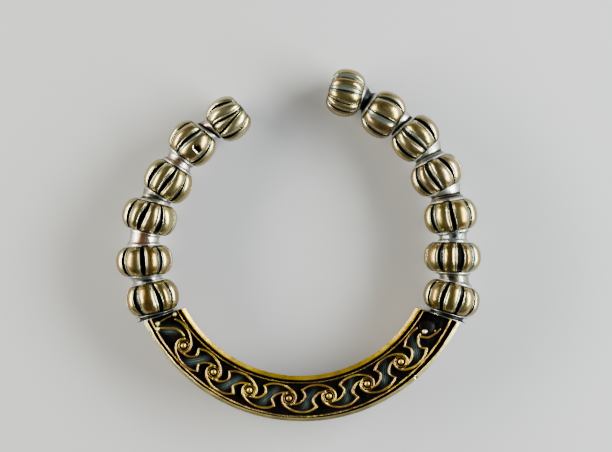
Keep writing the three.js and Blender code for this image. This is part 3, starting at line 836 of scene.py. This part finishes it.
# %% Make the rods
ROD_RADIUS = 1.62
ROD_END = 0.4
ROD_SIDES = 24
ROD_STEPS = 14
SOCKET_BEARING = 56.0
SOCKET_HEIGHT = 11.5


def smooth_path(stops, per_span):
    """A Catmull-Rom line through the stops."""
    stops = np.array(stops)
    padded = np.vstack([2 * stops[0] - stops[1], stops, 2 * stops[-1] - stops[-2]])
    t = np.linspace(0, 1, per_span, endpoint=False)[:, None]
    parts = []
    for a, b, c, d in zip(padded, padded[1:], padded[2:], padded[3:]):
        line = 2 * b + (c - a) * t
        line = line + (2 * a - 5 * b + 4 * c - d) * t**2
        line = line + (3 * b - a - 3 * c + d) * t**3
        parts.append(0.5 * line)
    return np.vstack([*parts, stops[-1:]])


def make_rod(name, poses, seat, turn):
    """A round bar along the line of its string, pitted by rust."""
    first = poses[0]["centre"] - poses[0]["axis"] * (poses[0]["half"] + ROD_END)
    socket = polar(COLLAR_MIDDLE - turn * SOCKET_BEARING, SCROLL_RADIUS, SOCKET_HEIGHT)
    path = smooth_path([first, *[p["centre"] for p in poses], seat["centre"], socket], ROD_STEPS)
    heading = np.gradient(path, axis=0)
    heading /= np.linalg.norm(heading, axis=1, keepdims=True)
    across = np.cross(UP, heading)
    across /= np.linalg.norm(across, axis=1, keepdims=True)
    over = np.cross(heading, across)
    angle = np.linspace(0, 2 * math.pi, ROD_SIDES, endpoint=False)
    ring = across[:, None] * np.cos(angle)[None, :, None]
    ring = ring + over[:, None] * np.sin(angle)[None, :, None]
    points = (path[:, None] + ROD_RADIUS * ring).reshape(-1, 3)
    rust = waves(points, 2.5, len(path))
    points = points - ring.reshape(-1, 3) * (0.12 * np.abs(rust))[:, None]
    faces = wrapped_quads(len(path), ROD_SIDES, close_rows=False).tolist()
    faces.append(list(range(ROD_SIDES))[::-1])
    faces.append([(len(path) - 1) * ROD_SIDES + i for i in range(ROD_SIDES)])
    made = mesh_object(name + "_fine", points, faces, vectors={"own": points})
    hand_over(made, name, ROD_FINISH)


make_rod("rod_left", left_poses, seats[0], 1)
make_rod("rod_right", right_poses, seats[1], -1)
print("rods: 2")

# %% [markdown]
# ## The collar
# The front half is one crescent casting. Its face is sunk between two rims. Inside each rim runs a
# groove and then a fine milled line, and between the lines a running scroll stands up from a
# black ground. Each scroll wraps round a small ringed boss. The whole face is one field of
# heights over the arc, so the lines keep crisp sides and blunt, slightly hollow tops.

# %% The running scroll as curves
FIRST_BOSS = -139.1
BOSS_STEP = 14.93
BOSSES = 7
BOSS_PITCH = math.radians(BOSS_STEP) * SCROLL_RADIUS
SCROLL_STEPS = 12
STEM = [[1.4, 2.5], [4.1, 2.1], [6.3, 0.6], [7.3, -1.4], [6.0, -4.0]]
SWEEP = [[6.0, -4.0], [8.4, -5.3], [11.4, -5.9], [15.0, -5.6]]
SWEEP += [[18.5, -4.1], [20.6, -2.1], [21.1, 0.2], [20.2, 2.3]]
TAIL = [[-12.6, 4.8], [-10.5, 1.1], [-8.6, -1.5], [-6.0, -2.8], [-3.4, -3.0]]
END_CURL = [[-3.6, -1.4], [-2.1, 1.2], [0.7, 2.9], [4.0, 3.9]]


def half_turn(line):
    """The same line turned half round between this boss and the next."""
    return [[BOSS_PITCH - u, -v] for u, v in line]


def scroll_lines():
    """Every raised line as points along the panel and outwards from the middle of the arc."""
    lines = [(-1, SWEEP), (0, TAIL), (BOSSES, END_CURL)]
    for boss in range(BOSSES):
        lines += [(boss, line) for line in (STEM, SWEEP, half_turn(STEM), half_turn(SWEEP))]
    placed = []
    for boss, line in lines:
        start = math.radians(FIRST_BOSS + boss * BOSS_STEP) * SCROLL_RADIUS
        placed.append(smooth_path([[u + start, v] for u, v in line], SCROLL_STEPS))
    return placed


def distance_to_lines(u, v, lines):
    """How far each place on the panel is from the nearest raised line."""
    nearest = np.full(u.shape, 99.0)
    for line in lines:
        low, high = line.min(axis=0) - 2.0, line.max(axis=0) + 2.0
        near = (u > low[0]) & (u < high[0]) & (v > low[1]) & (v < high[1])
        pu, pv = u[near], v[near]
        best = nearest[near]
        for (au, av), (bu, bv) in zip(line[:-1], line[1:]):
            du, dv = bu - au, bv - av
            t = np.clip(((pu - au) * du + (pv - av) * dv) / (du * du + dv * dv), 0, 1)
            best = np.minimum(best, np.hypot(pu - au - t * du, pv - av - t * dv))
        nearest[near] = best
    return nearest


# %% The height of the face
COLLAR_DEPTH = 20.0
INNER_RIM = 1.9
OUTER_RIM = 1.45
INNER_BEVEL = 1.1
OUTER_BEVEL = 0.85
GROOVE_DROP = 2.4
LINE_DROP = 1.3
PANEL_DROP = 2.8
RIDGE_HEIGHT = 1.35
PELLETS = [(-150.9, 64.4), (-151.0, 73.2), (-149.4, 74.5), (-35.2, 67.9)]
DISC_PLACE = (1.6, -1.9)
DISC_RADIUS = 3.8
MILL_PITCH = 0.68
# The rim and the milled line wander: bearing, and reach of the middle of each.
OUTER_RIM_RUN = [(-155, 77.5), (-135, 77.7), (-110, 78.2), (-90, 78.4), (-70, 78.7), (-25, 78.75)]
OUTER_LINE_RUN = [(-155, 75.1), (-135, 75.6), (-120, 76.2), (-108, 76.7), (-90, 77.1), (-75, 77.0)]
OUTER_LINE_RUN += [(-60, 76.6), (-50, 76.2), (-38, 75.7), (-25, 75.3)]


def run_at(run, bearing):
    """The reach of a wandering rim or line at each bearing."""
    bearings, reaches = zip(*run)
    return np.interp(bearing, bearings, reaches)


def outer_side(bearing):
    """Reach of the collar's outer side, which hugs the rim."""
    return np.minimum(run_at(OUTER_RIM_RUN, bearing) + OUTER_RIM / 2, COLLAR_OUTER)


def knob(u, v, place, radius):
    """Distance from a round boss's middle, and the dome over it."""
    far = np.hypot(u - place[0], v - place[1])
    return far, np.clip(1 - (far / radius) ** 2, 0, 1) ** 0.5


def face_height(bearing, reach):
    """Height of the collar's face, with its masks: dirt and painted shade, wear and painted
    highlights, tone, and bloom with painted glints.
    """
    u = np.radians(bearing) * SCROLL_RADIUS
    v = reach - SCROLL_RADIUS
    from_inner = reach - COLLAR_INNER
    from_outer = outer_side(bearing) - reach
    places = np.stack([u, v, 0 * u], axis=-1).reshape(-1, 3)
    wander = waves(places, 9.0, 41).reshape(u.shape)
    # Rims with crisp inner shoulders.
    inner_rim = smoothstep(INNER_RIM + 0.16, INNER_RIM - 0.04, from_inner + 0.05 * wander)
    outer_rim = smoothstep(OUTER_RIM + 0.16, OUTER_RIM - 0.04, from_outer + 0.05 * wander)
    rim = np.maximum(inner_rim, outer_rim)
    # The milled lines: the outer one leaves the rim and comes in towards the ends.
    towards_end = np.abs(bearing - COLLAR_MIDDLE) / COLLAR_HALF_SPAN
    outer_line = run_at(OUTER_LINE_RUN, bearing)
    inner_line = COLLAR_INNER + 3.3 + 0.3 * towards_end
    line = smoothstep(0.46, 0.3, np.abs(reach - outer_line))
    line = np.maximum(line, smoothstep(0.4, 0.26, np.abs(reach - inner_line)))
    milled = 0.5 + 0.5 * np.cos(u * outer_line / SCROLL_RADIUS * 2 * math.pi / MILL_PITCH)
    mill_strength = 0.25 + 0.75 * hump(bearing, -85, 30)
    between = (1 - inner_rim) * (1 - outer_rim)
    on_panel = (reach > inner_line) & (reach < outer_line)
    floor = COLLAR_DEPTH - np.where(on_panel, PANEL_DROP, GROOVE_DROP)
    floor = floor + 0.12 * waves(places, 4.0, 43).reshape(u.shape) * on_panel
    line_top = (GROOVE_DROP - LINE_DROP) * (1 - 0.7 * mill_strength * milled)
    height = floor + line_top * line * between
    # The smooth disc at the right end, where the scroll stops.
    past_last = math.radians(FIRST_BOSS + BOSSES * BOSS_STEP) * SCROLL_RADIUS
    disc_at = (past_last + DISC_PLACE[0], DISC_PLACE[1])
    disc_far, disc_dome = knob(u, v, disc_at, DISC_RADIUS)
    off_disc = smoothstep(DISC_RADIUS - 0.1, DISC_RADIUS + 0.5, disc_far)
    # The scrolls.
    away = distance_to_lines(u, v, SCROLLS)
    width = 0.34 + 0.05 * wander
    ridge = smoothstep(width + 0.2, width - 0.06, away) * off_disc
    height = np.maximum(height, floor + (RIDGE_HEIGHT - 0.1 * hump(away, 0.0, 0.16)) * ridge)
    edge = 0.22 * hump(away, width - 0.12, 0.14) * off_disc
    relief = ridge
    bloom = 0 * u
    # The bosses: a dome in two rings, and beyond each a striped grey painted glint across the
    # ground.
    for boss in range(-1, BOSSES):
        at = (math.radians(FIRST_BOSS + boss * BOSS_STEP) * SCROLL_RADIUS, 0.0)
        du, dv = u - at[0] - BOSS_PITCH / 2, v - 0.5
        aside = 0.81 * du + 0.59 * dv
        streak = hump(0.59 * du - 0.81 * dv, 0, 4.0) * hump(aside, 0, 1.4)
        stripes = 0.5 + 0.5 * np.cos(aside * 6.5 + wander)
        bloom = np.maximum(bloom, streak * (0.25 + 0.75 * stripes))
        if boss < 0:
            continue
        far, dome = knob(u, v, at, 1.4)
        ring = np.maximum(hump(far, 2.2, 0.17), 0.9 * hump(far, 2.95, 0.19))
        height = np.maximum(height, floor + np.maximum(1.45 * dome, 1.0 * ring))
        edge = np.maximum(edge, np.maximum(0.2 * smoothstep(0.3, 0.8, dome), 0.2 * ring))
        relief = np.maximum(relief, np.maximum(smoothstep(0.1, 0.6, dome), 0.8 * ring))
    disc = smoothstep(DISC_RADIUS, DISC_RADIUS - 0.5, disc_far)
    height = np.maximum(height, floor * (1 - disc) + disc * (17.6 + 1.2 * disc_dome))
    relief = np.maximum(relief, 0.12 * disc)
    # Pellets at the ends.
    for pellet_bearing, pellet_reach in PELLETS:
        at = (math.radians(pellet_bearing) * SCROLL_RADIUS, pellet_reach - SCROLL_RADIUS)
        far, ball = knob(u, v, at, 1.15)
        height = np.maximum(height, 17.2 + 2.3 * ball)
        edge = np.maximum(edge, smoothstep(0.15, 0.6, ball))
        relief = np.maximum(relief, smoothstep(0.02, 0.4, ball))
    # The thin moulding across the left end, between two pellets.
    moulding = hump(bearing, -151.2 + 0.011 * (reach - 69) ** 2, 0.35)
    moulding = moulding * smoothstep(64.4, 65.2, reach) * smoothstep(73.2, 72.4, reach)
    height = np.maximum(height, floor + 1.2 * moulding)
    edge = np.maximum(edge, 0.5 * moulding)
    relief = np.maximum(relief, 0.65 * moulding)
    # The rims stand highest, and slope away from the panel.
    lip = INNER_BEVEL * np.clip(1 - from_inner / INNER_RIM, 0, 1)
    lip = lip + OUTER_BEVEL * np.clip(1 - from_outer / OUTER_RIM, 0, 1)
    lip = lip + 0.14 * (hump(from_inner, INNER_RIM, 0.3) + hump(from_outer, OUTER_RIM, 0.3))
    rim_top = COLLAR_DEPTH - lip - 0.04 * np.abs(waves(places, 6.0, 47).reshape(u.shape))
    step = 0.25 * smoothstep(-49.6, -49.3, bearing) * smoothstep(-48.6, -49.2, bearing)
    rim_top = rim_top - step * (from_outer < OUTER_RIM + 0.3)
    height = height + (rim_top - height) * rim
    line = line * between
    edge = np.maximum(edge, line * (0.05 + 0.3 * (1 - milled) * mill_strength))
    relief = np.maximum(relief, line * (0.6 - 0.4 * milled * mill_strength))
    # The rims get painted shade along the middle of the arc, where neither side lamp catches them.
    recess = np.clip(1 - relief, 0, 1) * (1 - rim) + 0.47 * hump(bearing, -76, 24) * rim
    bloom = bloom * on_panel * recess * (1 - disc) * (1 - rim)
    edge = np.maximum(edge * (1 - rim), 0.75 * outer_rim)
    tone = 0.6 + 0.3 * waves(places, 14.0, 49).reshape(u.shape) * (1 - rim)
    tone = tone * (1 - rim) + rim * (0.2 - 0.1 * outer_rim + 0.08 * wander)
    edge, tone = np.clip(edge, 0, 1), np.clip(tone, 0, 1)
    return height, {"recess": recess, "edge": edge, "tone": tone, "bloom": bloom}


SCROLLS = scroll_lines()
print("raised lines:", len(SCROLLS))

# %% Make the collar
ARC_COLUMNS = 820
FACE_ROWS = 104


def collar_bearing(towards_end, reach):
    """Bearing of the point that far towards an end: the end faces turn away from the radius."""
    skew = math.tan(math.radians(COLLAR_END_TURN)) / SCROLL_RADIUS
    return COLLAR_MIDDLE + towards_end * (
        COLLAR_HALF_SPAN + np.degrees((reach - SCROLL_RADIUS) * skew)
    )


def make_collar():
    """The crescent: its face as a field of heights, its walls and flat back swept round."""
    face = np.linspace(COLLAR_OUTER, COLLAR_INNER, FACE_ROWS)
    # Down the inner wall, across the flat back and up the outer wall: reach and height.
    wall = [(58.8, 18.6), (59.0, 15.2), (59.3, 11.0), (59.7, 6.0)]
    wall += [(60.6, 3.3), (61.9, 1.1), (63.2, 0.0)]
    outer_wall = [(COLLAR_OUTER + COLLAR_INNER - r, z) for r, z in wall[::-1]]
    rest = np.array(wall + [(SCROLL_RADIUS, 0.0)] + outer_wall)
    rows = len(face) + len(rest)
    towards = np.linspace(-1, 1, ARC_COLUMNS)[None, :]
    reach = np.concatenate([face, rest[:, 0]])[:, None]
    drawn_in = outer_side(collar_bearing(towards, COLLAR_OUTER)) - COLLAR_OUTER
    outer_share = np.clip((reach - SCROLL_RADIUS) / (COLLAR_OUTER - SCROLL_RADIUS), 0, 1)
    reach = reach + drawn_in * outer_share
    bearing = collar_bearing(towards, reach)
    height = np.concatenate([face * 0, rest[:, 1]])[:, None] + 0 * reach
    masks = {"recess": 0.34, "edge": 0.12, "tone": 0.6, "bloom": 0.0}
    masks = {key: np.full(reach.shape, value) for key, value in masks.items()}
    top = slice(0, len(face))
    height[top], face_masks = face_height(bearing[top], reach[top])
    for key, values in face_masks.items():
        masks[key][top] = values
    # The walls grow darker towards the bottom.
    masks["recess"][len(face) :] += 0.3 * smoothstep(14, 3, height[len(face) :])
    points = polar(bearing, reach, height).reshape(-1, 3)
    # Each end is closed by a fan from its middle, and its middle is painted dark as the shade
    # in the mouth of the rod's socket.
    index = np.arange(rows * ARC_COLUMNS).reshape(rows, ARC_COLUMNS)
    below = np.roll(index, -1, axis=0)
    quads = np.stack([index[:, :-1], below[:, :-1], below[:, 1:], index[:, 1:]], axis=-1)
    quads = quads.reshape(-1, 4).tolist()
    ends = []
    for column, flip in ((0, True), (ARC_COLUMNS - 1, False)):
        loop = index[:, column]
        middle = len(points) + len(ends)
        ends.append(points[loop].mean(axis=0))
        for i in range(rows):
            triangle = [int(loop[i]), int(loop[(i + 1) % rows]), middle]
            quads.append(triangle[::-1] if flip else triangle)
    points = np.vstack([points, ends])
    at_ends = {"recess": 0.9, "edge": 0.0, "tone": 0.5, "bloom": 0.0}
    floats = {key: np.append(masks[key].ravel(), [at_ends[key]] * 2) for key in masks}
    made = mesh_object("collar_fine", points, quads, floats=floats, vectors={"own": points - RING})
    hand_over(made, "collar", COLLAR_FINISH)
    return made


collar = make_collar()
print("collar faces:", len(collar.data.polygons))

# %% [markdown]
# ## The table, the light and the view
# The torc lies on a plain pale table. Two large soft lights stand low on either side, a warm one
# on the left and a stronger one on the right, so each lobe has a bright flank and a brown crest.


# %% Table
def make_table():
    """A pale matt table top."""
    size = 900.0
    corners = [(-size, -size, 0), (size, -size, 0), (size, size, 0), (-size, size, 0)]
    table = mesh_object("table", corners, [[0, 1, 2, 3]])
    material, _, shader = new_material("pale matt card")
    shader.inputs["Base Color"].default_value = (0.33, 0.33, 0.34, 1)
    shader.inputs["Roughness"].default_value = 0.9
    table.data.materials.append(material)


make_table()
print("table: 1.8 m across")


# %% Lights
def soft_light(name, place, size, power, color):
    """A large area light that looks at the middle of the ring."""
    data = bpy.data.lights.new(name, "AREA")
    data.shape = "RECTANGLE"
    data.size, data.size_y = size
    data.energy = power
    data.color = color
    light = bpy.data.objects.new(name, data)
    light.location = place
    aim = Vector((0, 0, 0.01)) - light.location
    light.rotation_euler = aim.to_track_quat("-Z", "Y").to_euler()
    bpy.context.scene.collection.objects.link(light)


soft_light("left soft light", (-0.85, 0.12, 0.34), (0.9, 0.26), 36, (1.0, 0.97, 0.84))
soft_light("right soft light", (0.82, 0.1, 0.42), (1.0, 0.36), 54, (0.95, 1.0, 0.98))
world = bpy.data.worlds.new("room")
world.use_nodes = True
sky = world.node_tree.nodes["Background"]
sky.inputs["Color"].default_value = (0.8, 0.87, 1.0, 1)
sky.inputs["Strength"].default_value = 0.03
bpy.context.scene.world = world
print("lights: 2 and a faint sky")

# %% Camera
# It looks straight down from this place: right of and behind the ring's centre in mm, and high.
VIEW_PLACE = (2.46, 8.15, 915.0)
optics = bpy.data.cameras.new("camera")
optics.sensor_width = 36
optics.lens = 118
camera = bpy.data.objects.new("camera", optics)
camera.location = (RING + VIEW_PLACE) * MM
bpy.context.scene.collection.objects.link(camera)
bpy.context.scene.camera = camera
print("camera, mm:", VIEW_PLACE)
